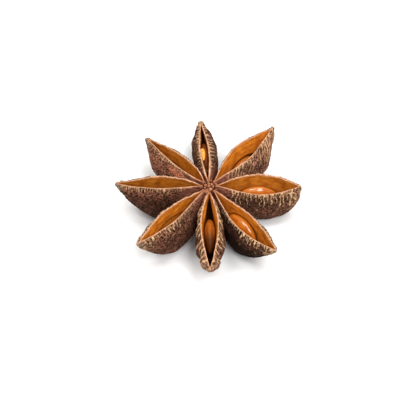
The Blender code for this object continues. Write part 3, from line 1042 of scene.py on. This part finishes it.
def column_material():
    g = Graph("column_skin")
    grit = g.noise(g.vector("flow"), 4.0, 4.0, 0.6)
    # Painted highlight on the knobs' domes and painted shade in the creases, groove and shoulder,
    # through the crest mask.
    top = g.mix(g.span(g.mask("crest"), 0.0, 1.0), HUB_DEEP, HUB_LIGHT)
    wall = g.mix(g.span(grit, 0.3, 0.7), DARK, SKIN_BROWN)
    colour = g.mix(g.mask("top"), wall, top)
    colour = g.mix(g.span(grit, 0.4, 0.8, 0.0, 0.3), colour, DARK)
    g.bump(grit, 0.35, 0.00006)
    return g.finish(colour, g.span(grit, 0.2, 0.8, 0.62, 0.82), 0.12)


# Each seed's deep and light colour, how strong its gloss is and how much painted shade darkens it
# outwards.
SEED_COATS = {
    "east": ((0.40, 0.090, 0.006), (0.54, 0.165, 0.018), 0.8, 0.0),
    "northeast": ((0.30, 0.070, 0.006), (0.46, 0.135, 0.016), 0.6, 0.0),
    "north": ((0.10, 0.020, 0.003), (0.20, 0.046, 0.007), 0.05, 0.0),
    "south": ((0.23, 0.046, 0.003), (0.46, 0.135, 0.012), 0.05, 0.9),
    "southeast": ((0.36, 0.080, 0.003), (0.56, 0.160, 0.006), 0.8, 0.25),
}


def seed_material(c):
    g = Graph("seed_shell_" + c.name)
    deep, light, gloss, outer_shade = SEED_COATS[c.name]
    streaks = g.noise(g.vector("flow", (0.25, 1.0, 1.0)), 2.2, 4.0, 0.6)
    clouds = g.noise(g.vector("flow"), 0.5, 2.0)
    colour = g.mix(g.span(streaks, 0.30, 0.72), deep, light)
    colour = g.mix(g.span(clouds, 0.45, 0.75, 0.0, 0.45), colour, deep)
    # Painted highlight: a lighter streak along the keel, which runs over the seed's top and
    # underside.
    colour = g.mix(g.times(g.mask("keel"), 0.4), colour, light)
    # Painted shade: towards its outer end the seed darkens to a shaded copy of its deep colour.
    dusk = g.span(g.mask("outwards"), -0.25, 0.60, 0.0, outer_shade)
    colour = g.mix(dusk, colour, lit(deep, 0.20))
    colour = g.mix(g.mask("scar"), colour, SEED_SCAR)
    dull = 0.46 - 0.35 * gloss
    g.shader.inputs["Coat Weight"].default_value = gloss
    g.shader.inputs["Coat Roughness"].default_value = 0.11
    g.bump(streaks, 0.15, 0.00003)
    return g.finish(colour, g.span(streaks, 0.2, 0.8, dull, dull + 0.14), 0.08 + 0.47 * gloss)


def flake_material():
    g = Graph("dry_lining")
    grain = g.noise(g.vector("flow"), 2.5, 3.0)
    colour = g.mix(g.span(grain, 0.3, 0.7), FLAKE_DEEP, FLAKE_LIGHT)
    return g.finish(colour, 0.45, 0.5)


def floor_material():
    g = Graph("pale_floor")
    where = g.node("ShaderNodeTexCoord").outputs["Object"]
    return g.finish(g.mix(g.noise(where, 12.0, 2.0), *FLOOR_GREYS), 0.9, 0.5)


# Stage, light and camera.

FLOOR_REACH = 1.5
# Each light's name, place, width in metres, power in watts and colour.
LIGHTS = (
    ("top_left", (-0.13, -0.02, 0.40), 0.17, 0.75, (1.0, 0.985, 0.96)),
    ("top_right", (0.11, 0.00, 0.40), 0.17, 0.75, (1.0, 0.985, 0.96)),
    ("front", (0.13, -0.24, 0.42), 0.22, 1.45, (1, 1, 1)),
)
SKY_STRENGTH = 0.45
CAMERA_ELEVATION = 53  # degrees over the horizon, from the south
CAMERA_DISTANCE = 0.24588
SENSOR = 36  # mm
FOCAL = 1200  # in pixels of the 416-pixel frame
FRAME_SIZE = 416
HUB_PIXEL = (209, 186)  # where the column's top stands in the frame


def make_floor():
    mesh = bpy.data.meshes.new("floor")
    turns = ((-1, -1), (1, -1), (1, 1), (-1, 1))
    corners = [(FLOOR_REACH * x, FLOOR_REACH * y, 0) for x, y in turns]
    mesh.from_pydata(corners, [], [(0, 1, 2, 3)])
    floor = bpy.data.objects.new("floor", mesh)
    bpy.context.scene.collection.objects.link(floor)
    floor.data.materials.append(floor_material())


def area_light(name, location, size, power, colour):
    data = bpy.data.lights.new(name, "AREA")
    data.shape = "DISK"
    data.size = size
    data.energy = power
    data.color = colour
    light = bpy.data.objects.new(name, data)
    light.location = location
    light.rotation_mode = "QUATERNION"
    light.rotation_quaternion = (Vector(location) - hub_place()).to_track_quat("Z", "Y")
    bpy.context.scene.collection.objects.link(light)


def make_lights():
    for light in LIGHTS:
        area_light(*light)
    world = bpy.data.worlds.new("studio")
    world.use_nodes = True
    background = world.node_tree.nodes["Background"]
    background.inputs["Color"].default_value = (1, 1, 1, 1)
    background.inputs["Strength"].default_value = SKY_STRENGTH
    bpy.context.scene.world = world
    view = bpy.context.scene.view_settings
    view.view_transform = "Standard"
    view.look = "None"
    view.exposure = 0.0
    view.gamma = 1.0


def make_camera():
    data = bpy.data.cameras.new("camera")
    data.sensor_width = SENSOR
    data.lens = SENSOR * FOCAL / FRAME_SIZE
    data.clip_start = 0.01
    data.clip_end = 10
    camera = bpy.data.objects.new("camera", data)
    rise = math.radians(CAMERA_ELEVATION)
    back = Vector((0, -math.cos(rise), math.sin(rise)))
    camera.location = hub_place() + back * CAMERA_DISTANCE
    right = Vector((1, 0, 0))
    up = back.cross(right)
    off_right = (HUB_PIXEL[0] - FRAME_SIZE / 2) / FOCAL
    off_up = (FRAME_SIZE / 2 - HUB_PIXEL[1]) / FOCAL
    aim = (-back - right * off_right - up * off_up).normalized()
    camera.rotation_mode = "QUATERNION"
    camera.rotation_quaternion = aim.to_track_quat("-Z", "Y")
    bpy.context.scene.collection.objects.link(camera)
    bpy.context.scene.camera = camera


def dress(piece, node, material):
    piece.data.materials.append(material)
    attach(piece, "root")
    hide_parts(node)


def main():
    for obj in list(bpy.data.objects):
        bpy.data.objects.remove(obj)
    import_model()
    for index, c in enumerate(CARPELS):
        dress(carpel_piece(c, index), "pod", carpel_material(c))
        if c.seed:
            dress(seed_piece(c), "seed_" + c.name, seed_material(c))
    dress(column_piece(), "pod", column_material())
    north = next(c for c in CARPELS if c.name == FLAKE_CARPEL)
    dress(flake_piece(north), "pod", flake_material())
    make_floor()
    make_lights()
    make_camera()


main()
